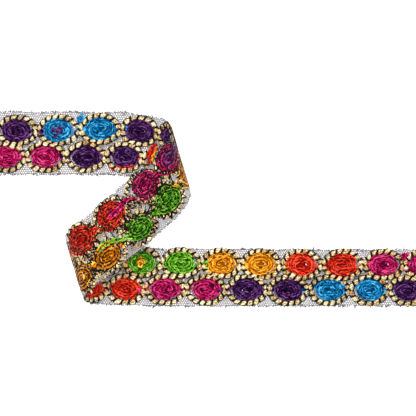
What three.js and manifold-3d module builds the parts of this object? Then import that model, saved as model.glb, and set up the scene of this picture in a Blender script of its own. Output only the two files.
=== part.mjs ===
// A length of embroidered trim: two rows of coloured thread rounds, each outlined in gold cord, on a narrow
// band of fine net. The band is laid as an open Z. It runs in along +X, turns up and over at the right, comes
// back over itself with its reverse showing, turns down and under at the left and runs on along +X.
// Millimetres, +Z up. The origin is the bottom centre of the part's box.
import * as THREE from 'three';
import { mergeVertices } from 'three/addons/utils/BufferGeometryUtils.js';
import Module from 'manifold-3d';

const wasm = await Module();
wasm.setup();

// The band, measured along its centre line from the left edge of the upper run
const BAND = { start: -11, end: 435, thickness: 1, columns: 6 };
const HALF_WIDTHS = [
  { along: -11, half: 18.4 },
  { along: 70, half: 18.3 },
  { along: 116, half: 17.1 },
  { along: 243, half: 16.8 },
  { along: 350, half: 16.4 },
  { along: 435, half: 16.3 },
];
const EDGE_WAVE = { height: 0.22, upperPitch: 31, lowerPitch: 23 };
const STATIONS = [
  { upTo: 68, step: 5 },
  { upTo: 150, step: 2.4 },
  { upTo: 180, step: 4.2 },
  { upTo: 268, step: 2.4 },
  { upTo: BAND.end, step: 5 },
];

// Both folds bend about lines that lie at this angle to +X
const FOLD_LINE = THREE.MathUtils.degToRad(73.4);
const ALONG_FOLD = new THREE.Vector2(Math.cos(FOLD_LINE), -Math.sin(FOLD_LINE));
const ACROSS_FOLD = new THREE.Vector2(Math.sin(FOLD_LINE), Math.cos(FOLD_LINE));

// The folded section, from where the band leaves the surface at the right to where it lies down again
const LIFT_OFF = -27.1;
const SECTION_RANGE = { from: -260, to: 700, step: 0.1 };
const FOLD_ARCS = [
  { name: 'rise', radius: 35, degrees: 20 },
  { name: 'right turn', radius: 12.2, degrees: 175 },
  { name: 'sag', radius: 87, degrees: -30 },
  { name: 'left turn', radius: 12.2, degrees: 175 },
  { name: 'settle', radius: 35, degrees: 20 },
];

// How far the band's centre line swerves from the straight, as the net gives on the bias
const BAND_ORIGIN = new THREE.Vector2(-120.6, 37.6);
const ROUTE_RANGE = { from: -20, to: 470, step: 0.25 };
const SWERVES = [
  { along: -20, degrees: 0 },
  { along: 20, degrees: 0 },
  { along: 58, degrees: -0.5 },
  { along: 93, degrees: -9.6 },
  { along: 128, degrees: -17 },
  { along: 162, degrees: -7.2 },
  { along: 197, degrees: -4.2 },
  { along: 232, degrees: -4.8 },
  { along: 267, degrees: -0.8 },
  { along: 302, degrees: 0 },
  { along: 480, degrees: 0 },
];

// Rounds of chain-stitched thread, set into the net, flush at its back and domed at its front
const GAP = 0.3;
const ROUND = { halfLength: 8.2, halfHeight: 6, sides: 12, crown: 1.9, spaceDepth: 2.5 };
const ROUND_RINGS = [
  { name: 'back middle', reach: 0.5, height: -BAND.thickness / 2, onBends: true },
  { name: 'back rim', reach: 1, height: -BAND.thickness / 2 },
  { name: 'brim', reach: 1, height: 0.9 },
  { name: 'shoulder', reach: 0.66, height: 1.7 },
];
const BEND_LEAST = 0.2;
const UPPER_ROUNDS = [
  { along: 10, across: 7.2, thread: 'purple' },
  { along: 33.8, across: 7.2, thread: 'blue' },
  { along: 58.5, across: 8.2, thread: 'blue' },
  { along: 80.5, across: 8.2, thread: 'purple' },
  { along: 101.5, across: 8.6, thread: 'purple' },
  { along: 122, across: 7.6, thread: 'magenta' },
  { along: 143.2, across: 8.2, thread: 'magenta' },
  { along: 170.2, across: 8.6, thread: 'red' },
  { along: 192.5, across: 8.6, thread: 'red' },
  { along: 214, across: 8.6, thread: 'yellow' },
  { along: 235.5, across: 8.6, thread: 'yellow' },
  { along: 256.5, across: 8.4, thread: 'green' },
  { along: 280, across: 8.4, thread: 'green' },
  { along: 303.5, across: 8.1, thread: 'yellow' },
  { along: 326.2, across: 7.8, thread: 'yellow' },
  { along: 350, across: 7.5, thread: 'red' },
  { along: 373.8, across: 7.5, thread: 'red' },
  { along: 397.5, across: 7.5, thread: 'magenta' },
  { along: 421, across: 7.5, thread: 'magenta' },
];
const LOWER_ROUNDS = [
  { along: 3.5, across: -8, thread: 'magenta' },
  { along: 26.2, across: -8, thread: 'magenta' },
  { along: 50.2, across: -8, thread: 'purple' },
  { along: 73, across: -7.5, thread: 'purple' },
  { along: 95, across: -7, thread: 'red' },
  { along: 117.6, across: -7.2, thread: 'yellow' },
  { along: 140.2, across: -7, thread: 'green' },
  { along: 162, across: -7.5, thread: 'green' },
  { along: 186, across: -8.2, thread: 'yellow' },
  { along: 206.5, across: -8.4, thread: 'yellow' },
  { along: 227, across: -8.2, thread: 'red' },
  { along: 248, across: -7.2, thread: 'red' },
  { along: 270.5, across: -6.8, thread: 'magenta' },
  { along: 294.5, across: -6.6, thread: 'magenta' },
  { along: 318, across: -7, thread: 'purple' },
  { along: 342.2, across: -7, thread: 'purple' },
  { along: 365.8, across: -7, thread: 'blue' },
  { along: 389.5, across: -7, thread: 'blue' },
  { along: 411.2, across: -7, thread: 'purple' },
];

// Gold cord round each round: a chain of oval links, its ridge rising and falling once for each bead of cord
const CORD = { width: 2.7, beads: 10, seat: BAND.thickness / 2 + GAP, shoulder: 1.2, crest: 2.1, dip: 1.4 };
const LINK = { sides: 2 * CORD.beads, joinRise: 1.5, netMargin: 0.8, crestReach: 0.12, dipReach: -0.22 };

const FINISHES = {
  net: { color: 0x8e8684, roughness: 0.85, metalness: 0 },
  gold: { color: 0xd2b878, roughness: 0.42, metalness: 0.55 },
  purple: { color: 0x461969, roughness: 0.5, metalness: 0 },
  blue: { color: 0x1491c8, roughness: 0.5, metalness: 0 },
  magenta: { color: 0xc5127e, roughness: 0.5, metalness: 0 },
  red: { color: 0xd7301e, roughness: 0.5, metalness: 0 },
  yellow: { color: 0xf09b0f, roughness: 0.5, metalness: 0 },
  green: { color: 0x50af1e, roughness: 0.5, metalness: 0 },
};

// Linear reading of a table between its rows
function readTable(rows, column, along) {
  const after = rows.findIndex((row) => row.along > along);
  if (after === -1) return rows[rows.length - 1][column];
  if (after === 0) return rows[0][column];
  const before = rows[after - 1];
  const share = (along - before.along) / (rows[after].along - before.along);
  return before[column] + (rows[after][column] - before[column]) * share;
}

// Smooth reading: level at each row and eased between them
function readSmoothly(rows, column, along) {
  const after = Math.max(rows.findIndex((row) => row.along > along), 1);
  const before = rows[after - 1];
  const share = (along - before.along) / (rows[after].along - before.along);
  const eased = share * share * (3 - 2 * share);
  return before[column] + (rows[after][column] - before[column]) * eased;
}

// A plane curve stepped out from its heading, with the point where the length is nil as its zero
function stepCurve({ from, to, step }, angleAt) {
  const points = [{ x: 0, y: 0 }];
  for (let length = from; length < to; length += step) {
    const angle = angleAt(length + step / 2);
    const last = points[points.length - 1];
    points.push({ x: last.x + step * Math.cos(angle), y: last.y + step * Math.sin(angle) });
  }
  const read = (length) => {
    const steps = (length - from) / step;
    const below = Math.min(Math.max(Math.floor(steps), 0), points.length - 2);
    const share = steps - below;
    const [a, b] = [points[below], points[below + 1]];
    return { x: a.x + (b.x - a.x) * share, y: a.y + (b.y - a.y) * share };
  };
  const zero = read(0);
  return (length) => {
    const point = read(length);
    return { x: point.x - zero.x, y: point.y - zero.y };
  };
}

// Slope of the folded section at a distance past the lift-off
function slopeAt(distance) {
  let slope = 0;
  let left = Math.max(distance, 0);
  for (const arc of FOLD_ARCS) {
    const sweep = THREE.MathUtils.degToRad(arc.degrees);
    const length = arc.radius * Math.abs(sweep);
    slope += sweep * Math.min(left / length, 1);
    left = Math.max(left - length, 0);
  }
  return slope;
}

const headingAt = (along) => THREE.MathUtils.degToRad(readSmoothly(SWERVES, 'degrees', along)) + FOLD_LINE;
const section = stepCurve(SECTION_RANGE, slopeAt);
const route = stepCurve(ROUTE_RANGE, headingAt);
const startAcross = BAND_ORIGIN.dot(ACROSS_FOLD) - LIFT_OFF;
const startAlong = BAND_ORIGIN.dot(ALONG_FOLD);

// A point of the laid band: along it, across it and above the middle of its thickness
function place(along, across, height) {
  const heading = headingAt(along);
  const centre = route(along);
  const distance = startAcross + centre.y + across * Math.cos(heading);
  const side = startAlong + centre.x - across * Math.sin(heading);
  const slope = slopeAt(distance);
  const fold = section(distance);
  const out = LIFT_OFF + fold.x - height * Math.sin(slope);
  return new THREE.Vector3(
    out * ACROSS_FOLD.x + side * ALONG_FOLD.x,
    out * ACROSS_FOLD.y + side * ALONG_FOLD.y,
    BAND.thickness / 2 + fold.y + height * Math.cos(slope),
  );
}

// The net's edge on either side, a little uneven as cut
function edgeAt(along, side) {
  const pitch = side > 0 ? EDGE_WAVE.upperPitch : EDGE_WAVE.lowerPitch;
  const wave = EDGE_WAVE.height * Math.sin((2 * Math.PI * along) / pitch);
  return side * (readTable(HALF_WIDTHS, 'half', along) + wave);
}

// Distances along the band at which the net has a row of points
function netStations() {
  const stations = [BAND.start];
  for (const { upTo, step } of STATIONS) {
    const from = stations[stations.length - 1];
    const count = Math.round((upTo - from) / step);
    for (let i = 1; i <= count; i += 1) {
      stations.push(from + ((upTo - from) * i) / count);
    }
  }
  return stations;
}

// Triangles over a grid of points whose rows may close on themselves
function gridFaces(rows, columns, at, closed) {
  const faces = [];
  const last = closed ? columns : columns - 1;
  for (let i = 0; i < rows - 1; i += 1) {
    for (let j = 0; j < last; j += 1) {
      const next = (j + 1) % columns;
      faces.push(at(i, j), at(i + 1, j), at(i + 1, next), at(i, j), at(i + 1, next), at(i, next));
    }
  }
  return faces;
}

function geometryFrom(points, faces) {
  const geometry = new THREE.BufferGeometry().setFromPoints(points);
  geometry.setIndex(faces);
  return mergeVertices(geometry, 1e-3);
}

function toManifold(geometry) {
  const vertProperties = new Float32Array(geometry.attributes.position.array);
  const triVerts = new Uint32Array(geometry.index.array);
  return new wasm.Manifold(new wasm.Mesh({ numProp: 3, vertProperties, triVerts }));
}

function fromManifold(solid) {
  const mesh = solid.getMesh();
  const geometry = new THREE.BufferGeometry();
  geometry.setAttribute('position', new THREE.BufferAttribute(mesh.vertProperties, 3));
  geometry.setIndex(new THREE.BufferAttribute(mesh.triVerts, 1));
  return geometry;
}

// The whole net before the rounds' places are cut: each station is a closed loop of points,
// out along the front and home along the back
function netSlab() {
  const stations = netStations();
  const shares = Array.from({ length: BAND.columns + 1 }, (_, j) => j / BAND.columns);
  const front = shares.map((share) => ({ share, height: BAND.thickness / 2 }));
  const back = shares.map((share) => ({ share, height: -BAND.thickness / 2 }));
  const loop = [...front, ...back.reverse()];
  const points = [];
  for (const along of stations) {
    const [low, high] = [edgeAt(along, -1), edgeAt(along, 1)];
    loop.forEach(({ share, height }) => points.push(place(along, low + (high - low) * share, height)));
  }
  const at = (i, j) => i * loop.length + j;
  const faces = gridFaces(stations.length, loop.length, at, true);
  const lastStation = stations.length - 1;
  const mirror = (j) => loop.length - 1 - j;
  for (let j = 0; j < BAND.columns; j += 1) {
    const corners = [j, j + 1, mirror(j + 1), mirror(j)];
    const [a, b, c, d] = corners.map((corner) => at(0, corner));
    const [e, f, g, h] = corners.map((corner) => at(lastStation, corner));
    faces.push(a, b, c, a, c, d, e, g, f, e, h, g);
  }
  return geometryFrom(points, faces);
}

// A closed oval body about a round's centre, from rings of points and a middle point at each end
function ovalBody(round, rings, backHeight, crownHeight) {
  const points = [place(round.along, round.across, backHeight), place(round.along, round.across, crownHeight)];
  for (const { halfLength, halfHeight, height } of rings) {
    for (let k = 0; k < ROUND.sides; k += 1) {
      const angle = (2 * Math.PI * k) / ROUND.sides;
      const along = round.along + halfLength * Math.cos(angle);
      points.push(place(along, round.across + halfHeight * Math.sin(angle), height));
    }
  }
  const at = (i, k) => 2 + i * ROUND.sides + k;
  const faces = gridFaces(rings.length, ROUND.sides, (i, k) => at(i, k), true).reverse();
  for (let k = 0; k < ROUND.sides; k += 1) {
    const next = (k + 1) % ROUND.sides;
    faces.push(0, at(0, next), at(0, k), 1, at(rings.length - 1, k), at(rings.length - 1, next));
  }
  return geometryFrom(points, faces);
}

// Whether the band turns by more than the least bend (radians) over the length of a round
function isOnBend(round) {
  const distances = [-ROUND.halfLength, ROUND.halfLength].map((reach) => startAcross + route(round.along + reach).y);
  return Math.abs(slopeAt(distances[1]) - slopeAt(distances[0])) > BEND_LEAST;
}

function roundBody(round) {
  const used = ROUND_RINGS.filter((ring) => !ring.onBends || isOnBend(round));
  const rings = used.map(({ reach, height }) => ({
    halfLength: ROUND.halfLength * reach,
    halfHeight: ROUND.halfHeight * reach,
    height,
  }));
  return ovalBody(round, rings, -BAND.thickness / 2, ROUND.crown);
}

// The space that a round and the gap about it take out of the net, well past its faces
function roundSpace(round) {
  const clear = GAP / Math.cos(Math.PI / ROUND.sides);
  const size = { halfLength: ROUND.halfLength + clear, halfHeight: ROUND.halfHeight + clear };
  const depth = ROUND.spaceDepth;
  return ovalBody(round, [{ ...size, height: -depth }, { ...size, height: depth }], -depth, depth);
}

function netStrip() {
  const spaces = [...UPPER_ROUNDS, ...LOWER_ROUNDS].map((round) => toManifold(roundSpace(round)));
  const allSpaces = spaces.reduce((sum, space) => sum.add(space));
  return fromManifold(toManifold(netSlab()).subtract(allSpaces));
}

// How far a row's outline reaches towards the other row
function rowReach(rounds, along) {
  const distance = Math.min(...rounds.map((round) => Math.abs(round.along - along)));
  const share = Math.min(distance / (ROUND.halfLength + CORD.width), 1);
  return (ROUND.halfHeight + GAP) * Math.sqrt(1 - share * share);
}

// The wavy line where the two chains lie side by side
function middleAt(along) {
  const upper = readTable(UPPER_ROUNDS, 'across', along) - rowReach(UPPER_ROUNDS, along);
  const lower = readTable(LOWER_ROUNDS, 'across', along) + rowReach(LOWER_ROUNDS, along);
  return (upper + lower) / 2;
}

// Keeps a point of the cord between the middle line and the net's edge
function keepInRow(along, across, side) {
  const inner = middleAt(along) + (side * GAP) / 2;
  const outer = edgeAt(along, side) - side * LINK.netMargin;
  return THREE.MathUtils.clamp(across, Math.min(inner, outer), Math.max(inner, outer));
}

// Where two links of a chain join: three points on the line half way between their rounds
function joinPoint(rounds, first, rise) {
  const [a, b] = [rounds[first], rounds[first + 1]];
  return { along: (a.along + b.along) / 2, across: (a.across + b.across) / 2 + rise * LINK.joinRise };
}

// One side of a link at one angle: its inner, ridge and outer points, and whether it joins its neighbour there
function linkSide(rounds, index, k, side) {
  const round = rounds[index];
  const angle = (2 * Math.PI * k) / LINK.sides;
  const [cos, sin] = [Math.cos(angle), Math.sin(angle)];
  const [halfLength, halfHeight] = [ROUND.halfLength + GAP, ROUND.halfHeight + GAP];
  const inner = { along: round.along + halfLength * cos, across: round.across + halfHeight * sin };
  const stepsFromRight = k > LINK.sides / 2 ? k - LINK.sides : k;
  const stepsFromLeft = LINK.sides / 2 - k;
  const joinsRight = Math.abs(stepsFromRight) <= 1 && index < rounds.length - 1;
  const joinsLeft = Math.abs(stepsFromLeft) <= 1 && index > 0;
  const crest = k % 2 === 0;
  const width = CORD.width + (crest ? LINK.crestReach : LINK.dipReach);
  const freeAlong = inner.along + width * cos;
  let outer = { along: freeAlong, across: keepInRow(freeAlong, inner.across + width * sin, side) };
  if (joinsRight) {
    outer = joinPoint(rounds, index, stepsFromRight);
  } else if (joinsLeft) {
    outer = joinPoint(rounds, index - 1, stepsFromLeft);
  }
  const ridge = { along: (inner.along + outer.along) / 2, across: (inner.across + outer.across) / 2 };
  return { inner, ridge, outer, ridgeHeight: crest ? CORD.crest : CORD.dip, joins: joinsRight || joinsLeft };
}

// A chain of links: each is a ring of four-cornered sections, open only where it runs into the next
function goldOutline(rounds, side) {
  const points = [];
  const faces = [];
  rounds.forEach((round, index) => {
    const base = points.length;
    const sides = [];
    for (let k = 0; k < LINK.sides; k += 1) {
      const link = linkSide(rounds, index, k, side);
      sides.push(link);
      points.push(place(link.inner.along, link.inner.across, CORD.seat));
      points.push(place(link.ridge.along, link.ridge.across, link.ridgeHeight));
      points.push(place(link.outer.along, link.outer.across, CORD.shoulder));
      points.push(place(link.outer.along, link.outer.across, CORD.seat));
    }
    for (let k = 0; k < LINK.sides; k += 1) {
      const next = (k + 1) % LINK.sides;
      for (let corner = 0; corner < 4; corner += 1) {
        const open = corner === 2 && sides[k].joins && sides[next].joins;
        const [a, b] = [base + 4 * k + corner, base + 4 * next + corner];
        const [c, d] = [base + 4 * next + ((corner + 1) % 4), base + 4 * k + ((corner + 1) % 4)];
        if (!open) faces.push(a, c, b, a, d, c);
      }
    }
  });
  return geometryFrom(points, faces);
}

function addPiece(group, name, geometry, finish) {
  const mesh = new THREE.Mesh(geometry, new THREE.MeshStandardMaterial(FINISHES[finish]));
  mesh.name = name;
  group.add(mesh);
}

function addRounds(group, rowName, rounds) {
  rounds.forEach((round, index) => {
    const number = String(index + 1).padStart(2, '0');
    addPiece(group, `round_${rowName}_${number}`, roundBody(round), round.thread);
  });
}

const trim = new THREE.Group();
addPiece(trim, 'net_strip', netStrip(), 'net');
addPiece(trim, 'gold_outline_upper', goldOutline(UPPER_ROUNDS, 1), 'gold');
addPiece(trim, 'gold_outline_lower', goldOutline(LOWER_ROUNDS, -1), 'gold');
addRounds(trim, 'upper', UPPER_ROUNDS);
addRounds(trim, 'lower', LOWER_ROUNDS);

const box = new THREE.Box3().setFromObject(trim);
const centre = box.getCenter(new THREE.Vector3());
trim.position.set(-centre.x, -centre.y, -box.min.z);

export default trim;
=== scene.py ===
import bpy
import numpy as np
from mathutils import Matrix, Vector


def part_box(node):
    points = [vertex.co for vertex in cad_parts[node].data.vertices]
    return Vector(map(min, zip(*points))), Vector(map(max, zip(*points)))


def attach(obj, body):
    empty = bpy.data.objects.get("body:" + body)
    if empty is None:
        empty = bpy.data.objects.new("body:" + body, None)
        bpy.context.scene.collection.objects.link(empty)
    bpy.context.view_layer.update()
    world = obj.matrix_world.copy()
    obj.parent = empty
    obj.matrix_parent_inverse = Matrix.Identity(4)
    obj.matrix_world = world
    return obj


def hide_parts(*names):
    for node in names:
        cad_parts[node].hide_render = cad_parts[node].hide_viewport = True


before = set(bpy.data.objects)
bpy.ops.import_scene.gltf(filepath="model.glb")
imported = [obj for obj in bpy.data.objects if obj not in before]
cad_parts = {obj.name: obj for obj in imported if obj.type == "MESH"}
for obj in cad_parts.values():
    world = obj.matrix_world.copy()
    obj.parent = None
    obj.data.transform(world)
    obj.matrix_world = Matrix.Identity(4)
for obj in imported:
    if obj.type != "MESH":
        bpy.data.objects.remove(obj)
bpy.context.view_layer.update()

# Embroidered trim: rounds of chain-stitched thread between wavy gold cords, on a band of fine net. Every
# shape is worked out on the flat band, in millimetres along, across and in height above the middle of the
# net, and laid() takes it to where the folded band lies, in metres.
MM = 0.001
rng = np.random.default_rng(4)

# The band, in millimetres: its ends along its centre line, half its node's thickness, its half widths, and
# the wave of its cut edges, with its pitch on either side
BAND_START = -11.0
BAND_END = 435.0
SLAB_HALF = 0.5
HALF_WIDTHS = {"along": [-11, 70, 116, 243, 350, 435], "half": [18.4, 18.3, 17.1, 16.8, 16.4, 16.3]}
EDGE_WAVE = 0.22
EDGE_PITCH = {1: 31.0, -1: 23.0}

# Where the upper edge and the cord along it lie further in, beside the first fold
EDGE_DRAWN = [{"at": 131.0, "reach": 7.5, "amount": 4.2}, {"at": 111.0, "reach": 8.0, "amount": 4.6}]
CORD_DRAWN = [{"at": 122.0, "reach": 8.0, "amount": 3.0}, {"at": 106.0, "reach": 7.0, "amount": 1.6}]

# Heights at the back, below the middle of the net: the lowest that any thread lies, so that it clears the
# floor, the rounds' thread and how much lower it jumps, the dashes, what lies over them, and the zigzags
LOWEST = -0.48
BACK_HEIGHT = -0.24
JUMP_DROP = 0.16
DASH_HEIGHT = -0.42
OVER_HEIGHT = -0.3
ZIGZAG_HEIGHTS = {"gold": -0.24, "black": -0.31}

# Both folds bend about lines at this angle below +X. The band leaves the ground LIFT_OFF across them, and its
# centre line has its zero at BAND_ORIGIN.
FOLD_LINE = np.radians(73.4)
ALONG_FOLD = np.array([np.cos(FOLD_LINE), -np.sin(FOLD_LINE)])
ACROSS_FOLD = np.array([np.sin(FOLD_LINE), np.cos(FOLD_LINE)])
LIFT_OFF = -27.1
BAND_ORIGIN = np.array([-120.6, 37.6])

# The folded section, arc by arc: radius in millimetres and turn in degrees
FOLD_ARCS = [
    ("rise", 35.0, 20.0),
    ("right turn", 12.2, 175.0),
    ("sag", 87.0, -30.0),
    ("left turn", 12.2, 175.0),
    ("settle", 35.0, 20.0),
]

# How far the centre line swerves from the straight
SWERVES = {
    "along": [-20, 20, 58, 93, 128, 162, 197, 232, 267, 302, 480],
    "degrees": [0, 0, -0.5, -9.6, -17, -7.2, -4.2, -4.8, -0.8, 0, 0],
}

# The rounds of each row: along, across, thread
ROUNDS = {
    "upper": [
        (10.0, 7.2, "purple"), (33.8, 7.2, "blue"), (58.5, 8.2, "blue"), (80.5, 8.2, "purple"),
        (101.5, 8.6, "purple"), (122.0, 7.6, "magenta"), (143.2, 8.2, "magenta"), (170.2, 8.6, "red"),
        (192.5, 8.6, "red"), (214.0, 8.6, "yellow"), (235.5, 8.6, "yellow"), (256.5, 8.4, "green"),
        (280.0, 8.4, "green"), (303.5, 8.1, "yellow"), (326.2, 7.8, "yellow"), (350.0, 7.5, "red"),
        (373.8, 7.5, "red"), (397.5, 7.5, "magenta"), (421.0, 7.5, "magenta"),
    ],
    "lower": [
        (3.5, -8.0, "magenta"), (26.2, -8.0, "magenta"), (50.2, -8.0, "purple"), (73.0, -7.5, "purple"),
        (95.0, -7.0, "red"), (117.6, -7.2, "yellow"), (140.2, -7.0, "green"), (162.0, -7.5, "green"),
        (186.0, -8.2, "yellow"), (206.5, -8.4, "yellow"), (227.0, -8.2, "red"), (248.0, -7.2, "red"),
        (270.5, -6.8, "magenta"), (294.5, -6.6, "magenta"), (318.0, -7.0, "purple"), (342.2, -7.0, "purple"),
        (365.8, -7.0, "blue"), (389.5, -7.0, "blue"), (411.2, -7.0, "purple"),
    ],
}
ROUND_REACH = np.array([8.2, 6.0])

# The length of a bead of gold cord
BEAD = 3.95

# Rounds whose middle was begun in another thread: row, number, thread, reach
MIDDLES = [
    ("upper", 2, "purple", 3.0), ("upper", 6, "purple", 4.6), ("upper", 8, "magenta", 2.2),
    ("upper", 12, "yellow", 2.6), ("lower", 5, "yellow", 5.4),
]

# Knots of thread at the front: name, thread, along, across, reach
KNOTS = [("knot_blue", "blue", 46.4, 13.9, 1.9), ("knot_magenta", "magenta", 409.4, 12.8, 1.7)]

# The rounds whose thread doesn't run on to another
ENDED_AT_RIM = {("lower", 7), ("lower", 9)}

# Short loose runs of thread: name, thread, face, width, and their course as (along, across)
LOOSE_RUNS = [
    (
        "run_red_4", "red", "front", 1.4,
        [(67.0, -13.1), (70.0, -13.9), (74.0, -13.8), (77.5, -12.6), (80.0, -11.0)],
    ),
    ("run_red_5", "red", "front", 2.8, [(87.0, -5.6), (87.8, -3.0), (89.2, -0.8), (90.8, 0.6), (92.0, 1.0)]),
    ("run_yellow_5", "yellow", "front", 2.4, [(90.6, -6.8), (91.2, -4.4), (92.4, -2.2), (94.0, -0.6)]),
    ("end_red_4", "red", "front", 1.9, [(64.8, -14.9), (66.8, -15.3)]),
    ("end_red_13", "red", "front", 1.9, [(262.6, -5.8), (260.4, -6.2), (258.6, -5.2)]),
    (
        "run_yellow_7", "yellow", "back", 2.6,
        [(117.6, -8.0), (121.0, -12.2), (126.5, -11.0), (131.0, -7.6), (132.6, -3.6)],
    ),
    (
        "run_green_9", "green", "back", 3.0,
        [(189.4, -2.6), (183.6, -1.6), (178.4, -3.6), (172.4, -5.8), (167.6, -8.4)],
    ),
]


# The laid band

def joined(*columns):
    """Columns of values side by side, as the last axis of one array."""
    return np.stack(np.broadcast_arrays(*columns), axis=-1)


def stepped_curve(start, end, step, angle_at):
    """A plane curve of even steps, each at the angle read at its middle. Its zero is where length is nil."""
    lengths = np.arange(start, end + step / 2, step)
    angles = angle_at(lengths[:-1] + step / 2)
    x = np.concatenate([[0], np.cumsum(step * np.cos(angles))])
    y = np.concatenate([[0], np.cumsum(step * np.sin(angles))])
    x -= np.interp(0, lengths, x)
    y -= np.interp(0, lengths, y)
    return lambda length: (np.interp(length, lengths, x), np.interp(length, lengths, y))


def slope_at(distance):
    """Slope of the folded section: the sum of each arc's turn, by how much of the arc lies behind."""
    slope = np.zeros_like(distance)
    behind = 0.0
    for _name, radius, degrees in FOLD_ARCS:
        turn = np.radians(degrees)
        length = radius * abs(turn)
        slope += turn * np.clip((distance - behind) / length, 0, 1)
        behind += length
    return slope


def heading_at(along):
    """The band's heading against the fold line: its swerve is level at each row of the table, and eased
    between rows as share squared times three less twice the share."""
    rows = np.array(SWERVES["along"], dtype=float)
    degrees = np.array(SWERVES["degrees"], dtype=float)
    before = np.clip(np.searchsorted(rows, along, side="right") - 1, 0, len(rows) - 2)
    share = np.clip((along - rows[before]) / (rows[before + 1] - rows[before]), 0, 1)
    eased = share * share * (3 - 2 * share)
    return np.radians(degrees[before] + (degrees[before + 1] - degrees[before]) * eased) + FOLD_LINE


# The section is worked out well past both folds, and the route past both ends of the band
SECTION_REACH = (-260, 700)
SECTION_STEP = 0.1
ROUTE_REACH = (-20, 470)
ROUTE_STEP = 0.25
section = stepped_curve(*SECTION_REACH, SECTION_STEP, slope_at)
route = stepped_curve(*ROUTE_REACH, ROUTE_STEP, heading_at)


def fold_point(along, across, height):
    """The flat band's point carried along its route, then wrapped round the fold section.
    The distance across the fold lines gives the place on the section, and height goes square to it."""
    heading = heading_at(along)
    centre_side, centre_across = route(along)
    distance = BAND_ORIGIN @ ACROSS_FOLD - LIFT_OFF + centre_across + across * np.cos(heading)
    side = BAND_ORIGIN @ ALONG_FOLD + centre_side - across * np.sin(heading)
    slope = slope_at(distance)
    fold_out, fold_up = section(distance)
    out = LIFT_OFF + fold_out - height * np.sin(slope)
    x = out * ACROSS_FOLD[0] + side * ALONG_FOLD[0]
    y = out * ACROSS_FOLD[1] + side * ALONG_FOLD[1]
    z = SLAB_HALF + fold_up + height * np.cos(slope)
    return joined(x, y, z)


def edge_at(along, side):
    """The cut edge: the half width read from its table, with a slight wave."""
    half = np.interp(along, HALF_WIDTHS["along"], HALF_WIDTHS["half"])
    return side * (half + EDGE_WAVE * np.sin(2 * np.pi * along / EDGE_PITCH[side]))


def drawn_in(along, bells):
    """How far further in the upper edge or its cord lies beside the first fold: a sum of bells."""
    return sum(bell["amount"] * np.exp(-(((along - bell["at"]) / bell["reach"]) ** 2)) for bell in bells)


def net_edge(along, side):
    """The net's raw edge: the cut edge, less what the upper one is drawn in."""
    return edge_at(along, side) - (drawn_in(along, EDGE_DRAWN) if side > 0 else 0)


def frame_shift():
    """From the band's zero to the frame's: the lowest corner of the net's node less that of its outline."""
    along = np.arange(BAND_START, BAND_END, 0.5)
    corners = [
        fold_point(along, edge_at(along, side), np.full_like(along, height))
        for side in (-1, 1)
        for height in (-SLAB_HALF, SLAB_HALF)
    ]
    lowest = np.concatenate(corners).min(axis=0)
    node_low = np.array(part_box("net_strip")[0]) / MM
    return node_low - lowest


SHIFT = frame_shift()


def laid(points):
    """Flat points (along, across, height) in millimetres, laid in the folds, in metres."""
    return (fold_point(*np.moveaxis(points, -1, 0)) + SHIFT) * MM


# Meshes gathered from tubes

class Gathered:
    """Points, faces and patterns of many tubes, joined into one mesh. A pattern is the run along the tube in
    millimetres, the side of it from -1 to 1, and its shade, more where it is darker: a random tone, and on
    some tubes painted shade."""

    def __init__(self):
        self.points = []
        self.patterns = []
        self.quads = []
        self.triangles = []
        self.count = 0

    def add(self, points, patterns, quads, triangles):
        """Takes in points with their patterns, and the faces on them, numbered from nil."""
        self.points.append(points)
        self.patterns.append(patterns)
        self.quads.append(quads + self.count)
        self.triangles.append(triangles + self.count)
        self.count += len(points)

    def add_tubes(self, rings, patterns):
        """Takes in rings, tubes by rows by sides by 3: four-sided faces join the rows, and fans end them."""
        tubes, rows, sides, _ = rings.shape
        index = np.arange(tubes * rows * sides).reshape(tubes, rows, sides)
        turned = np.roll(index, -1, axis=2)
        quads = joined(index[:, :-1], turned[:, :-1], turned[:, 1:], index[:, 1:]).reshape(-1, 4)
        middles = tubes * rows * sides + np.arange(2 * tubes).reshape(2, tubes, 1)
        fans = [
            joined(middles[0], turned[:, 0], index[:, 0]),
            joined(middles[1], index[:, -1], turned[:, -1]),
        ]

        def with_ends(values):
            """The values, then the means of each tube's first ring and of its last."""
            return np.concatenate([values.reshape(-1, 3), *(values[:, row].mean(axis=1) for row in (0, -1))])

        self.add(with_ends(rings), with_ends(patterns), quads, np.concatenate(fans).reshape(-1, 3))

    def finish(self, name, material, slot):
        """Makes what was gathered a piece, laid in the folds, with heights below the lowest raised to it."""
        points = np.concatenate(self.points)
        points[:, 2] = np.maximum(points[:, 2], LOWEST)
        points = laid(points)
        quads = np.concatenate(self.quads)
        triangles = np.concatenate(self.triangles)
        corners = np.concatenate([quads.ravel(), triangles.ravel()]).astype(np.int32)
        sizes = np.concatenate([np.full(len(quads), 4), np.full(len(triangles), 3)])
        starts = np.concatenate([[0], np.cumsum(sizes)[:-1]]).astype(np.int32)
        mesh = bpy.data.meshes.new(name)
        mesh.vertices.add(len(points))
        mesh.vertices.foreach_set("co", points.astype(np.float32).ravel())
        mesh.loops.add(len(corners))
        mesh.loops.foreach_set("vertex_index", corners)
        mesh.polygons.add(len(sizes))
        mesh.polygons.foreach_set("loop_start", starts)
        mesh.polygons.foreach_set("use_smooth", np.ones(len(sizes), dtype=bool))
        mesh.update(calc_edges=True)
        patterns = np.concatenate(self.patterns).astype(np.float32)
        pattern = mesh.uv_layers.new(name="pattern")
        pattern.data.foreach_set("uv", patterns[corners, :2].ravel())
        shade = mesh.attributes.new("shade", "FLOAT", "POINT")
        shade.data.foreach_set("value", patterns[:, 2].copy())
        mesh.validate()
        piece = bpy.data.objects.new(name, mesh)
        bpy.context.collection.objects.link(piece)
        mesh.materials.append(material)
        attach(piece, "root")
        return piece


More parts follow.
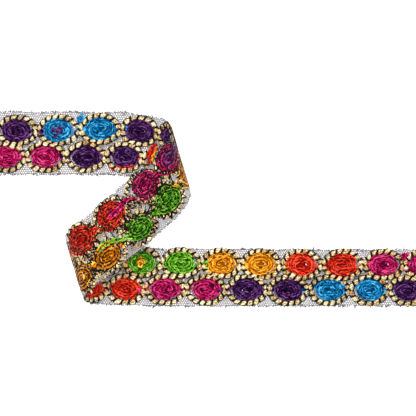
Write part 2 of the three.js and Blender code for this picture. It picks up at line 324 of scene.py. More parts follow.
def unit(vectors):
    """Vectors brought to length one."""
    return vectors / np.maximum(np.linalg.norm(vectors, axis=-1, keepdims=True), 1e-9)


def run_of(line):
    """How far along its plan each point of a line lies from the first."""
    return np.concatenate([[0], np.cumsum(np.linalg.norm(np.diff(line[:, :2], axis=0), axis=1))])


def read_at(wanted, run, line):
    """A line's columns, read between its rows where its run has the wanted values."""
    return joined(*(np.interp(wanted, run, column) for column in line.T))


def even_steps(line, count):
    """A line read at even distances of its plan: count rows, and its length."""
    run = run_of(line)
    return read_at(np.linspace(0, run[-1], count), run, line), run[-1]


def ways_of(line):
    """A line's direction at each point of the flat band, and the one square to it on its left."""
    direction = unit(np.gradient(line[:, :2], axis=0))
    return direction, joined(-direction[:, 1], direction[:, 0])


def off_line(line, direction, left, side, ahead):
    """Plan points off each point of a line: side to its left, and ahead along its direction."""
    return line[:, None, :2] + left[:, None] * side[..., None] + direction[:, None] * ahead[..., None]


def lifted(plan, height):
    """Plan points given a height: one number, or a number for each."""
    return joined(plan[..., 0], plan[..., 1], height)


def ring_angles(sides):
    """Even angles round a tube, the first of them half a step on."""
    return 2 * np.pi * (np.arange(sides) + 0.5) / sides


def flat_rings(line, side, up, ahead):
    """Rings round a line on the flat band: each point is the line's, plus side to its left, up in height,
    and ahead along its direction. line is rows by 3; side, up and ahead are rows by sides."""
    return lifted(off_line(line, *ways_of(line), side, ahead), line[:, None, 2] + up)


def thin_tubes(lines, radius, sides, facing=(0, 0, 1), flatness=1.0, shift=0.0, shade=0.0):
    """Tubes on many lines of equal count. lines is tubes by rows by 3, radius is a number or tubes by rows,
    facing is a direction square to each line, and flatness is the share of the radius kept along it.
    shift moves each tube's pattern along it, so that no two have the same strands."""
    direction = unit(np.gradient(lines, axis=1))
    facing = np.broadcast_to(np.asarray(facing, dtype=float).reshape(-1, 1, 3), lines.shape)
    left = unit(np.cross(facing, direction))
    top = np.cross(direction, left)
    angles = ring_angles(sides)
    ring = left[:, :, None] * np.cos(angles)[:, None] + top[:, :, None] * np.sin(angles)[:, None] * flatness
    rings = lines[:, :, None] + ring * np.broadcast_to(radius, lines.shape[:2])[..., None, None]
    run = np.cumsum(np.linalg.norm(np.diff(lines, axis=1, prepend=lines[:, :1]), axis=2), axis=1)
    shift, shade = (np.asarray(value, dtype=float).reshape(-1, 1, 1) for value in (shift, shade))
    patterns = joined(run[:, :, None] + shift, np.cos(angles), shade)
    return rings, patterns


# Materials

# Depth of the threads' relief, in metres
RELIEF_DEPTH = 0.0002


def linear(red, green, blue):
    """A screen colour, 0 to 255, as the linear colour that shaders take, by the usual rule for screens."""
    share = np.array([red, green, blue]) / 255
    low = share / 12.92
    high = ((share + 0.055) / 1.055) ** 2.4
    return (*np.where(share <= 0.04045, low, high), 1.0)


def new_group(name, inputs, outputs):
    """An empty node group with number inputs, each with its starting value, and number outputs."""
    group = bpy.data.node_groups.new(name, "ShaderNodeTree")
    for label, start in inputs.items():
        socket = group.interface.new_socket(label, in_out="INPUT", socket_type="NodeSocketFloat")
        socket.default_value = start
    for label in outputs:
        group.interface.new_socket(label, in_out="OUTPUT", socket_type="NodeSocketFloat")
    return group, group.nodes.new("NodeGroupInput"), group.nodes.new("NodeGroupOutput")


def calculate(tree, operation, first, second=None, third=None):
    """One step of arithmetic on sockets or numbers."""
    node = tree.nodes.new("ShaderNodeMath")
    node.operation = operation
    for socket, value in zip(node.inputs, (first, second, third)):
        if isinstance(value, bpy.types.NodeSocket):
            tree.links.new(value, socket)
        elif value is not None:
            socket.default_value = value
    return node.outputs[0]


def set_inputs(node, values):
    """Sets inputs of a node by their labels."""
    for label, value in values.items():
        node.inputs[label].default_value = value


def strand_group():
    """Strands of a thread: light and dark streaks that run with it, slanting in from both sides like the
    legs of a chain stitch, with painted shade where one stitch runs into the next and down the thread's
    sides, and a fine ribbing across them for the bump. The shade attribute darkens them further: a random
    tone, and painted shade on some pieces."""
    group, inside, outside = new_group(
        "thread strands",
        {
            "Streak length": 3.0, "Streaks across": 1.0, "Slant": 0.0, "Ribs per mm": 1.0,
            "Stitch length": 2.2, "Painted stitch shade": 0.0, "Painted side shade": 0.0,
        },
        ["Tone", "Height"],
    )

    def step(operation, *values):
        return calculate(group, operation, *values)

    pattern = group.nodes.new("ShaderNodeUVMap")
    pattern.uv_map = "pattern"
    split = group.nodes.new("ShaderNodeSeparateXYZ")
    group.links.new(pattern.outputs["UV"], split.inputs[0])
    outward = step("ABSOLUTE", split.outputs["Y"])
    run = step("ADD", split.outputs["X"], step("MULTIPLY", outward, inside.outputs["Slant"]))
    streak_run = step("DIVIDE", run, inside.outputs["Streak length"])
    streak_across = step("MULTIPLY", split.outputs["Y"], inside.outputs["Streaks across"])
    streak_place = group.nodes.new("ShaderNodeCombineXYZ")
    group.links.new(streak_run, streak_place.inputs["X"])
    group.links.new(streak_across, streak_place.inputs["Y"])
    streaks = group.nodes.new("ShaderNodeTexNoise")
    set_inputs(streaks, {"Scale": 1.0, "Detail": 2.0, "Roughness": 0.6})
    group.links.new(streak_place.outputs[0], streaks.inputs["Vector"])
    # Painted shade where one stitch runs into the next, and down the thread's sides where it meets its
    # neighbours
    stitch_turn = step("DIVIDE", split.outputs["X"], inside.outputs["Stitch length"])
    stitch_wave = step("ABSOLUTE", step("SINE", step("MULTIPLY", stitch_turn, np.pi)))
    stitch_end = step("POWER", step("SUBTRACT", 1.0, stitch_wave), 2.0)
    painted_stitch_shade = step("MULTIPLY", stitch_end, inside.outputs["Painted stitch shade"])
    painted_side_shade = step("MULTIPLY", step("POWER", outward, 3.0), inside.outputs["Painted side shade"])
    shade = group.nodes.new("ShaderNodeAttribute")
    shade.attribute_name = "shade"
    tone_with_painted_shade = step("SUBTRACT", streaks.outputs["Fac"], shade.outputs["Fac"])
    for dark in (painted_stitch_shade, painted_side_shade):
        tone_with_painted_shade = step("SUBTRACT", tone_with_painted_shade, dark)
    group.links.new(tone_with_painted_shade, outside.inputs["Tone"])
    rib_turn = step("MULTIPLY", step("MULTIPLY", run, inside.outputs["Ribs per mm"]), 2 * np.pi)
    rib_height = step("MULTIPLY_ADD", step("SINE", rib_turn), 0.25, streaks.outputs["Fac"])
    group.links.new(rib_height, outside.inputs["Height"])
    return group


STRANDS = strand_group()


def stranded_material(name, tones, roughness, specular, pattern, metallic=0.0, bump=0.3, spread=(0.3, 0.66)):
    """Thread coloured by its strands' tone: tones runs from the dark strands to the light ones, evenly over
    the spread. pattern has the strands' values that aren't their starting ones."""
    material = bpy.data.materials.new(name)
    material.use_nodes = True
    tree = material.node_tree
    shader = tree.nodes["Principled BSDF"]
    strands = tree.nodes.new("ShaderNodeGroup")
    strands.node_tree = STRANDS
    set_inputs(strands, pattern)
    ramp = tree.nodes.new("ShaderNodeValToRGB")
    places = np.linspace(*spread, len(tones))
    for element, index in zip(ramp.color_ramp.elements, (0, -1)):
        element.position = places[index]
        element.color = linear(*tones[index])
    for place, tone in list(zip(places, tones))[1:-1]:
        ramp.color_ramp.elements.new(place).color = linear(*tone)
    tree.links.new(strands.outputs["Tone"], ramp.inputs["Fac"])
    tree.links.new(ramp.outputs["Color"], shader.inputs["Base Color"])
    relief = tree.nodes.new("ShaderNodeBump")
    set_inputs(relief, {"Strength": bump, "Distance": RELIEF_DEPTH})
    tree.links.new(strands.outputs["Height"], relief.inputs["Height"])
    tree.links.new(relief.outputs["Normal"], shader.inputs["Normal"])
    set_inputs(shader, {
        "Roughness": roughness, "Metallic": metallic, "Specular IOR Level": specular,
        "Specular Tint": linear(*tones[-1]),
    })
    return material


# Screen colours of each thread, from its dark strands to its light ones. The light ones are partly
# # lighter strands and partly painted highlights of the threads' sheen.
THREAD_TONES = {
    "purple": [(11, 3, 18), (54, 16, 70), (134, 82, 152)],
    "blue": [(2, 42, 78), (5, 124, 188), (90, 200, 244)],
    "magenta": [(62, 2, 26), (184, 8, 82), (242, 84, 150)],
    "red": [(96, 8, 6), (232, 36, 22), (254, 110, 72)],
    "yellow": [(122, 56, 2), (242, 144, 4), (255, 208, 76)],
    "green": [(12, 54, 6), (86, 170, 22), (172, 226, 90)],
}
# Threads get painted shade down their sides, where they meet their neighbours
THREAD_PATTERN = {"Streaks across": 0.9, "Ribs per mm": 1.4, "Painted side shade": 0.25}
THREADS = {
    name: stranded_material(f"{name} thread", tones, roughness=0.4, specular=0.16, pattern=THREAD_PATTERN)
    for name, tones in THREAD_TONES.items()
}
# Gold's tones run from brown to near-white in random streaks: partly its own mottle, partly painted shade and
# painted glints. It also has painted shade at the pinches between its beads.
GOLD = stranded_material(
    "gold cord",
    [(96, 60, 16), (176, 134, 66), (232, 200, 132), (255, 246, 210)],
    roughness=0.36,
    specular=0.3,
    pattern={
        "Streak length": 1.3, "Streaks across": 1.9, "Ribs per mm": 2.6,
        "Stitch length": BEAD, "Painted stitch shade": 0.14,
    },
    metallic=0.4,
    bump=0.5,
    spread=(0.38, 0.58),
)
BLACK = stranded_material(
    "black stitches",
    [(5, 4, 6), (18, 15, 15), (44, 34, 28)],
    roughness=0.55,
    specular=0.15,
    pattern={"Streak length": 1.2, "Streaks across": 1.5, "Slant": 0.2, "Ribs per mm": 3.0},
)
NET = stranded_material(
    "net thread",
    [(84, 78, 80), (148, 143, 144), (184, 179, 181)],
    roughness=0.7,
    specular=0.15,
    pattern={},
    bump=0.1,
    spread=(0.14, 0.6),
)


# The net

# It is left out beneath the middle of a round, and a share of the threads that its edges cut stay standing.
# The pull waves its rows over the lengths given.
NET_PITCH = 1.3
NET_WIDTH = 0.69
NET_TOP = 0.1
NET_BACK = -0.06
NET_UNEVEN = 0.05
NET_PULL = 0.3
PULL_LENGTHS = {"along": 4.1, "sway": 3.3, "across": 2.7}
NET_OPENING = 0.62
STUB_SHARE = 0.5


def inside_net(points):
    """Whether a flat point is on the net: within its edges, and not beneath the middle of a round."""
    along, across = points[..., 0], points[..., 1]
    inside = (along > BAND_START) & (along < BAND_END)
    inside &= (across < net_edge(along, 1)) & (across > net_edge(along, -1))
    for rounds in ROUNDS.values():
        for entry in rounds:
            off = (points - entry[:2]) / ROUND_REACH
            inside &= (off ** 2).sum(axis=-1) > NET_OPENING ** 2
    return inside


def net_work():
    """Six-sided meshes in staggered rows. Each thread between two knots has a ridge at the front and a flat
    back, and its sides run to the corners of the two meshes beside it, so all threads meet at their knots."""
    arm = NET_PITCH / np.sqrt(3)
    row_step = 1.5 * arm
    widest = max(HALF_WIDTHS["half"]) + 2 * NET_PITCH
    rows = 2 * int(widest / row_step) + 3
    columns = int((BAND_END - BAND_START) / NET_PITCH) + 6
    column, row = np.meshgrid(np.arange(columns), np.arange(rows), indexing="ij")
    half_step = (row % 2) / 2
    centre = joined(BAND_START + (column - 2 + half_step) * NET_PITCH, (row - (rows - 1) / 2) * row_step)
    knots = np.stack([centre + [0, arm], centre - [0, arm]], axis=2)
    knots += NET_UNEVEN * rng.normal(size=knots.shape)
    along, across = knots[..., 0], knots[..., 1]
    pull = NET_PULL * np.sin(along / PULL_LENGTHS["along"] + 2 * np.sin(across / PULL_LENGTHS["sway"]))
    knots[..., 1] = across + pull * np.cos(across / PULL_LENGTHS["across"])

    def neighbour(columns_on, rows_up):
        """The number of the mesh so far over. Odd rows stand half a mesh further along."""
        beside = np.clip(column + columns_on + (row % 2 if rows_up else 0), 0, columns - 1)
        above = np.clip(row + rows_up, 0, rows - 1)
        return beside * rows + above

    def corners(mesh, *numbers):
        """The numbers of a mesh's corners, counted round it."""
        return [2 * columns * rows + 6 * mesh + number for number in numbers]

    def rows_of(*numbers):
        """Numbers that every mesh has, one row for each mesh."""
        return joined(*numbers).reshape(-1, len(numbers))

    own = column * rows + row
    up_left, up_right = neighbour(-1, 1), neighbour(0, 1)
    down_left, down_right = neighbour(-1, -1), neighbour(0, -1)
    right = neighbour(1, 0)
    knot_points = knots.reshape(-1, 2)
    mesh_knots = rows_of(
        2 * own, 2 * up_left + 1, 2 * down_left, 2 * own + 1, 2 * down_right, 2 * up_right + 1,
    )
    around = knot_points[mesh_knots]
    inward = around.mean(axis=1, keepdims=True) - around
    corner_points = around + unit(inward) * (NET_WIDTH / 2 / np.cos(np.pi / 6))
    points = np.concatenate([lifted(knot_points, NET_TOP), lifted(corner_points.reshape(-1, 2), NET_BACK)])

    # Each thread: its two knots, then the corners beside them on its left and on its right
    threads = np.concatenate([
        rows_of(2 * own, 2 * up_right + 1, *corners(up_right, 2, 3), *corners(own, 0, 5)),
        rows_of(2 * own, 2 * up_left + 1, *corners(own, 0, 1), *corners(up_left, 4, 3)),
        rows_of(2 * up_right + 1, 2 * down_right, *corners(right, 1, 2), *corners(own, 5, 4)),
    ])
    kept_knots = inside_net(knot_points)
    ends_kept = kept_knots[threads[:, :2]].sum(axis=1)
    length = np.linalg.norm(knot_points[threads[:, 0]] - knot_points[threads[:, 1]], axis=1)
    stubs = (ends_kept == 1) & (rng.random(len(threads)) < STUB_SHARE)
    threads = threads[((ends_kept == 2) | stubs) & (length < 2 * arm)]
    first, second, left_first, left_second, right_first, right_second = threads.T
    quads = np.concatenate([
        joined(first, second, left_second, left_first),
        joined(second, first, right_first, right_second),
        joined(left_first, left_second, right_second, right_first),
    ])
    # The back of each knot: the three corners round it
    knot_faces = np.concatenate([
        rows_of(*corners(own, 0), *corners(up_left, 4), *corners(up_right, 2))[kept_knots[0::2]],
        rows_of(*corners(own, 3), *corners(down_right, 1), *corners(down_left, 5))[kept_knots[1::2]],
    ])
    used, again = np.unique(np.concatenate([quads.ravel(), knot_faces.ravel()]), return_inverse=True)
    quads = again[:quads.size].reshape(-1, 4)
    knot_faces = again[quads.size:].reshape(-1, 3)
    work = Gathered()
    work.add(points[used], points[used] * [1, 1, 0], quads, knot_faces)
    return work


# Cut ends of thread along both edges: how many, their shortest and longest, and their radius
CUT_ENDS = [(1400, 0.8, 1.8, 0.16), (420, 1.1, 3.4, 0.19)]
END_ROOT = 0.5
END_SLANT = 0.8
END_BEND = 1.2
END_HEIGHT = 0.02
END_LIFT = 0.5
END_SHADE = 0.34

# One long end, as (along, across, height)
LONG_END = np.array([
    [402.6, 16.0, 0.2], [405.4, 17.2, 0.5], [408.4, 17.6, 0.8], [411.0, 18.8, 0.9], [412.2, 20.0, 0.9],
])
LONG_END_RADIUS = 0.2


def cut_ends(count, shortest, longest, radius):
    """Short curled ends of cut thread: each starts just inside the edge, leaves it at a slant, bends evenly
    and lifts. Their lengths grow from the shortest as the cube of an even share, so most are short."""
    side = np.where(rng.random(count) < 0.5, -1, 1)
    along = rng.uniform(BAND_START + 1, BAND_END - 1, count)
    root = np.where(side > 0, net_edge(along, 1), net_edge(along, -1)) - side * END_ROOT
    length = shortest + (longest - shortest) * rng.random(count) ** 3
    angle = side * (np.pi / 2 + rng.normal(0, END_SLANT, count))
    bend = rng.normal(0, END_BEND, count)
    share = np.linspace(0, 1, 3)
    heading = angle[:, None] + bend[:, None] * share
    steps = joined(np.cos(heading), np.sin(heading)) * length[:, None, None] / 2
    plan = joined(along, root)[:, None] + np.cumsum(steps, axis=1) - steps[:, :1]
    plan[..., 0] = np.clip(plan[..., 0], BAND_START, BAND_END)
    height = END_HEIGHT + END_LIFT * rng.random(count)[:, None] * share
    return thin_tubes(lifted(plan, height), radius, 3, shade=END_SHADE)


def make_cut_ends():
    """Both lots of short ends, and the long one."""
    work = Gathered()
    for lot in CUT_ENDS:
        work.add_tubes(*cut_ends(*lot))
    work.add_tubes(*thin_tubes(LONG_END[None], LONG_END_RADIUS, 4, shade=END_SHADE))
    work.finish("net_cut_ends", NET, "net")


def make_net():
    """The net as one piece, with its node in the part file hidden."""
    piece = net_work().finish("net", NET, "net")
    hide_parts("net_strip")


# Rounds of chain-stitched thread

# Each face of a round. How far the legs bow, how thick their strand is and how far they wander are shares of
# # the space between turns, and the thread under them lies so far below, darkened by painted shade.
FRONT = {
    "reach": np.array([9.3, 7.1]), "slack": 0.02, "size": 1.0,
    "stitch": 2.1, "bow": 0.44, "strand": 0.5, "wander": 0.14,
    "flatness": 0.8, "arch": 0.3, "tilt": 0.25, "uneven": 0.17, "shade": 0.0, "sides": 5,
    "under": {"below": 0.35, "depth": 0.3, "shade": 0.2},
}
BACK = {
    "reach": np.array([9.4, 7.2]), "slack": 0.04, "size": 1.06,
    "stitch": 2.74, "bow": 0.24, "strand": 0.4, "wander": 0.08,
    "flatness": 0.36, "arch": 0.05, "tilt": 0.03, "uneven": 0.03, "shade": -0.01, "sides": 4,
    "under": {"below": 0.04, "depth": 0.09, "shade": 0.18},
}
ROW_SIZE = {"upper": np.array([1.0, 1.06]), "lower": np.array([0.96, 0.95])}

# The spiral. UNEVEN has the least and the most of its two waves, each a height and a start, and of its slack
# place's swell and place.
UNEVEN = np.array([[-0.03, 0, -0.03, 0, -1, 0.45], [0.03, 6.28, 0.03, 6.28, 2, 0.8]])
TURNS = 4.0
SPIRAL_STEPS = 900
STITCH_ROOM = np.array([1.0, 0.8])
SLACK_WIDTH = 0.9
FULL_EARLY = 1.06
SLIT = 2.0
LEAVES_AT = np.radians(-6)
TAIL_TURN = np.radians(85)
TAIL_REACH = 0.25
JUMP_STEPS = 120
JUMP_SPACE = 3.0

# The legs of a stitch: lengths in stitches, the room between both legs as a share of the space between turns,
# and thickness in shares of the strand's
LEG = {
    "start_spread": 0.3, "long": 1.5, "long_spread": 0.3, "size_spread": 0.18, "apart": 0.09,
    "thick_ends": 0.45, "thick_middle": 0.62,
}
# Each leg's random tone, and the painted shade in the dimple at a round's middle, with its reach as a share
# of the round's
STRAND_SHADE = 0.08
PAINTED_DIMPLE_SHADE = 0.22
DIMPLE_REACH = 0.16
PATTERN_SPREAD = 900
UNDER_ROWS = 170
UNDER_RUN = 0.8

# Heights of a round's thread at the front, and how far the dimple at its middle reaches
CROWN = {"middle": 1.35, "fall": 0.9, "dimple": 0.7, "dimple_reach": 0.2, "jump": 0.4}

# The flat pad of thread inside most rounds, darkened by painted shade, and the body of a knot
FILLED_SHARE = 0.6
PAD_LINE = joined([-2.2, -1.2, 0, 1.2, 2.2], 0, 0.1)
PAD_RADII = np.array([[0.6, 1.3, 1.6, 1.3, 0.6]])
PAD_FLATNESS = 0.12
KNOT_LINE = joined([-1.0, -0.7, 0, 0.7, 1.0], 0, 0)
KNOT_RADII = np.array([[0.4, 0.9, 1.15, 0.9, 0.4]])
KNOT_FLATNESS = 0.4


def oval_spiral(face, start, uneven, between_turns=0.0):
    """An oval spiral from its middle out. It starts as a slit: the half width along the band is the slit's
    plus the share grown so far, and the half width across it is the share alone. Low waves and a slack place
    swell it, and its tail leaves the turn before it. between_turns of a half gives the line half way between
    its turns. Returns points, shares and the space between turns."""
    last = 2 * np.pi * TURNS + LEAVES_AT
    ahead = between_turns * 2 * np.pi
    angle = np.linspace(start, last - ahead, SPIRAL_STEPS)
    share = (angle + ahead) / last
    body = face["reach"] - STITCH_ROOM
    wave = uneven[0] * np.sin(angle + uneven[1]) + uneven[2] * np.sin(3 * angle + uneven[3])
    slack = uneven[4] * np.exp(-(((angle + ahead - uneven[5] * last) / SLACK_WIDTH) ** 2))
    tail = TAIL_REACH * np.clip(1 - (last - angle - ahead) / TAIL_TURN, 0, 1) ** 1.5
    grown = np.minimum(share * FULL_EARLY, 1) * (1 + wave * share + slack) + tail
    along = (SLIT + (body[0] - SLIT) * grown) * np.cos(angle)
    across = body[1] * grown * np.sin(angle)
    a_turn = (body - [SLIT, 0]) * 2 * np.pi / last
    between = a_turn.prod() / np.hypot(a_turn[1] * np.cos(angle), a_turn[0] * np.sin(angle))
    return joined(along, across), share, between


def jump_curve(start, heading, end, count):
    """A smooth curve from one point to another that leaves in the heading given: a cubic with its handles a
    third of the way."""
    reach = np.linalg.norm(end - start) / 3
    share = np.linspace(0, 1, count)[:, None]
    handles = [start, start + reach * heading, end - reach * unit(end - start), end]
    weights = [(1 - share) ** 3, 3 * share * (1 - share) ** 2, 3 * share ** 2 * (1 - share), share ** 3]
    return sum(weight * handle for weight, handle in zip(weights, handles))


def round_line(face, centre, following, size, uneven):
    """The spiral of a round and the jump of thread that leaves it for the next round. The columns are along,
    across, share of the reach, space between turns, and how far it is on the jump. size is negative for a
    round turned half about."""
    spiral, share, between = oval_spiral(face, 0.5, uneven)
    spiral = spiral * size + centre
    heading = unit(spiral[-1] - spiral[-8])
    jump = jump_curve(spiral[-1], heading, following, JUMP_STEPS)[1:]
    onto_jump = np.minimum(3 * np.linspace(0, 1, len(jump)), 1)
    jump_space = between[-1] + (JUMP_SPACE - between[-1]) * onto_jump
    return np.concatenate([
        np.column_stack([spiral, share, between, np.zeros(len(spiral))]),
        np.column_stack([jump, np.ones(len(jump)), jump_space, onto_jump]),
    ])


def chain_legs(work, line, height, face, side):
    """Both legs of every stitch on a line. A leg starts in the middle of the line, bows out to one side and
    comes back to the middle a little past the next stitch's start, and rises over its own middle. side is 1
    for the front and -1 for the back, where the legs rise downwards."""
    run = run_of(line)
    direction, _left = ways_of(line)
    table = np.column_stack([line[:, :4], np.broadcast_to(height, len(line)), direction])
    stitches = max(1, round(run[-1] / face["stitch"]))
    share = np.linspace(0, 1, 4)
    for leg in (-1, 1):
        start = face["stitch"] * (np.arange(stitches) + LEG["start_spread"] * rng.normal(size=stitches))
        long = face["stitch"] * (LEG["long"] + LEG["long_spread"] * rng.normal(size=stitches))
        at = np.clip(start[:, None] + long[:, None] * share, 0, run[-1])
        along, across, reached, space, middle, ahead_x, ahead_y = np.moveaxis(read_at(at, run, table), -1, 0)
        size = 1 + LEG["size_spread"] * rng.normal(size=(stitches, 1))
        bow = leg * space * (face["bow"] * np.sin(np.pi * share) ** 0.8 + LEG["apart"]) * size
        wander = rng.normal(size=(2, stitches, 1)) * face["wander"]
        bow += space * (wander[0] + wander[1] * share)
        lift = face["arch"] * np.sin(np.pi * share) - face["tilt"] * share
        lift = lift + face["uneven"] * rng.normal(size=(stitches, 1))
        points = joined(along - ahead_y * bow, across + ahead_x * bow, middle + side * lift)
        fullness = LEG["thick_ends"] + LEG["thick_middle"] * np.sin(np.pi * share) ** 0.6
        thick = space * face["strand"] / 2 * fullness * size
        shift = PATTERN_SPREAD * rng.random(stitches)
        # Painted shade in the dimple at the round's middle
        dimple = PAINTED_DIMPLE_SHADE * np.exp(-((reached[:, 0] / DIMPLE_REACH) ** 2))
        shade = face["shade"] + STRAND_SHADE * rng.normal(size=stitches) + dimple
        tubes = thin_tubes(points, thick, face["sides"], flatness=face["flatness"], shift=shift, shade=shade)
        work.add_tubes(*tubes)


def under_thread(work, line, height, under):
    """The thread beneath the legs: a plain low strip along the line that closes the view between them, its
    tone darkened by painted shade for the hollows there. Its section has a point to each side, one up and one
    down."""
    path = np.column_stack([line[:, :2], height - under["below"], line[:, 3]])
    rows, _length = even_steps(path, UNDER_ROWS)
    section_side = np.array([1.0, 0.0, -1.0, 0.0])
    section_up = np.array([0.0, 1.0, 0.0, -1.0])
    rings = flat_rings(rows, rows[:, 3:] / 2 * section_side, under["depth"] * section_up, np.zeros((1, 4)))
    run = np.arange(UNDER_ROWS)[:, None] * UNDER_RUN
    # The strip's tone carries painted shade for the hollows between the legs
    patterns = joined(run, section_side, under["shade"])
    work.add_tubes(rings[None], patterns[None])


def front_height(line):
    """Height of the thread's middle at the front: high near the middle of the round, low at its rim, with a
    dimple where it begins, and close to the net on the jump."""
    share, on_jump = line[:, 2], line[:, 4]
    dimple = CROWN["dimple"] * np.exp(-((share / CROWN["dimple_reach"]) ** 2))
    crown = CROWN["middle"] - CROWN["fall"] * share ** 2.2 - dimple
    return crown * (1 - on_jump) + CROWN["jump"] * on_jump


def make_round(row, number, entry, turned, front_end, back_end):
    """A round: its spiral and the jump of its thread to the next round, on the front and on the back. Short
    black dashes lie between its turns at the back, and most rounds have a flat pad at their middle."""
    along, across, thread = entry
    centre = np.array([along, across])
    work = Gathered()
    for face, side, end in ((FRONT, 1, front_end), (BACK, -1, back_end)):
        size = ROW_SIZE[row] * face["size"] * turned
        uneven = rng.uniform(*UNEVEN) * [1, 1, 1, 1, face["slack"], 1]
        line = round_line(face, centre, end, size, uneven)
        height = front_height(line) if side == 1 else BACK_HEIGHT - JUMP_DROP * line[:, 4]
        under_thread(work, line, height, face["under"])
        if side == -1:
            between, _share, _space = oval_spiral(face, 1.0, uneven, between_turns=0.5)
            back_dashes(BLACK_WORK[row], between * size + centre)
        chain_legs(work, line, height, face, side)
    if rng.random() < FILLED_SHARE:
        # The pad takes the under thread's painted shade
        pad = (PAD_LINE + [along, across, 0])[None]
        work.add_tubes(*thin_tubes(pad, PAD_RADII, 8, flatness=PAD_FLATNESS, shade=FRONT["under"]["shade"]))
    piece = work.finish(f"thread_{row}_{number:02d}", THREADS[thread], f"thread_{thread}")
    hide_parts(f"round_{row}_{number:02d}")


# The black dashes at the back, and each row's black work, which its cords' stitches join
DASH = {
    "first": 0.3, "pitch": 2.0, "spread": 0.2, "shortest": 1.2, "more": 0.6,
    "radius": 0.52, "flatness": 0.24,
}
DASH_STEPS = 6000
BLACK_WORK = {"upper": Gathered(), "lower": Gathered()}


def back_dashes(work, line):
    """Short black dashes along a line at the back, a pitch apart but for a small spread."""
    plan, length = even_steps(line, DASH_STEPS)
    starts = np.arange(DASH["first"], length - DASH["pitch"], DASH["pitch"])
    starts = starts + DASH["spread"] * rng.normal(size=len(starts))
    long = DASH["shortest"] + DASH["more"] * rng.random(len(starts))
    at = (starts[:, None] + long[:, None] * np.linspace(0, 1, 3)) / length * (DASH_STEPS - 1)
    at = np.clip(at.astype(int), 0, DASH_STEPS - 1)
    work.add_tubes(*thin_tubes(lifted(plan[at], DASH_HEIGHT), DASH["radius"], 4, flatness=DASH["flatness"]))


# From a round's middle: where the jump from the one before reaches its rim or its middle, where a thread
# that jumps no further ends, and how far past the last round a row's thread runs
RIM = np.array([-7.6, -0.6])
NEAR_MIDDLE = np.array([-0.5, -0.5])
ENDED_RIM = np.array([8.8, 0.9])
RUNS_PAST = np.array([20.0, 0])


def make_rounds():
    """The upper row's thread runs on to the next round, and the lower row's, turned half about, to the one
    before."""
    middles = {(row, number) for row, number, _thread, _reach in MIDDLES}
    for row, rounds in ROUNDS.items():
        turned = 1 if row == "upper" else -1
        for index, entry in enumerate(rounds):
            place = np.array(entry[:2])
            following = index + turned
            if 0 <= following < len(rounds):
                after = np.array(rounds[following][:2])
            else:
                after = place + RUNS_PAST * turned
            rim = after + RIM * turned
            if (row, index + 1) in ENDED_AT_RIM:
                rim = place + ENDED_RIM * turned
            back_end = after + NEAR_MIDDLE * turned if (row, following + 1) in middles else rim
            make_round(row, index + 1, entry, turned, rim, back_end)


# Small spirals: where they start, their turns at no reach and more for each millimetre of it, and the space
# between turns; then the roundness and height of a round's middle and of a knot
SMALL_START = 0.8
SMALL_TURNS = (0.45, 0.42)
SMALL_SPACE = 2.2
SMALL_STEPS = 400
MIDDLE = {"roundness": 0.74, "height": 1.75}
KNOT = {"roundness": 0.95, "height": 1.5, "body_height": 0.9}


def small_spiral(work, centre, reach, roundness, height, face, side):
    """Turns of stitches about a point that grow evenly, to the reach along and to its roundness across."""
    turns = SMALL_TURNS[0] + SMALL_TURNS[1] * reach
    angle = np.linspace(SMALL_START, 2 * np.pi * turns, SMALL_STEPS)
    share = angle / angle[-1]
    plan = share[:, None] * reach * joined(np.cos(angle), roundness * np.sin(angle))
    line = np.column_stack([plan + centre, share, np.full(SMALL_STEPS, SMALL_SPACE)])
    chain_legs(work, line, height, face, side)


def make_middles():
    """Turns of another thread at the middle of a round, on its front and its back, and the loose knots."""
    for row, number, thread, reach in MIDDLES:
        centre = ROUNDS[row][number - 1][:2]
        work = Gathered()
        small_spiral(work, centre, reach, MIDDLE["roundness"], MIDDLE["height"], FRONT, 1)
        small_spiral(work, centre, reach, MIDDLE["roundness"], OVER_HEIGHT, BACK, -1)
        work.finish(f"middle_{row}_{number:02d}", THREADS[thread], f"thread_{thread}")
    for name, thread, along, across, reach in KNOTS:
        work = Gathered()
        body = (KNOT_LINE * reach + [along, across, KNOT["body_height"]])[None]
        work.add_tubes(*thin_tubes(body, KNOT_RADII * reach, 8, flatness=KNOT_FLATNESS))
        small_spiral(work, (along, across), reach, KNOT["roundness"], KNOT["height"], FRONT, 1)
        work.finish(name, THREADS[thread], f"thread_{thread}")


# Loose runs: the steps of each, how many of them round its corners, and its height as a share of its width
RUN_STEPS = 120
ROUNDED_OVER = 17
RUN_RISE = 0.6


def make_loose_runs():
    """Each course is read at even steps, and a running mean rounds its corners. At the front it lies as high
    as a share of its width."""
    for name, thread, face_name, width, course in LOOSE_RUNS:
        plan, _length = even_steps(np.array(course), RUN_STEPS)
        padded = np.pad(plan, ((ROUNDED_OVER // 2, ROUNDED_OVER // 2), (0, 0)), mode="edge")
        kernel = np.ones(ROUNDED_OVER) / ROUNDED_OVER
        plan = joined(*(np.convolve(column, kernel, mode="valid") for column in padded.T))
        line = np.column_stack([plan, np.ones(RUN_STEPS), np.full(RUN_STEPS, width)])
        work = Gathered()
        if face_name == "front":
            chain_legs(work, line, RUN_RISE * width, FRONT, 1)
        else:
            chain_legs(work, line, OVER_HEIGHT, BACK, -1)
        work.finish(name, THREADS[thread], f"thread_{thread}")


# Gold cords

# The wave of a cord: its reach, how much less it is towards the band's middle, how square it is, and where
# and how far it dips and lifts at a crossing, in half waves and millimetres
CORD_REACH = 7.75
INNER_LESS = 0.35
CORD_SQUARE = 0.62
CROSSING_REACH = 0.1
CROSSING_LIFT = 0.22
CORD_STEPS = 6000

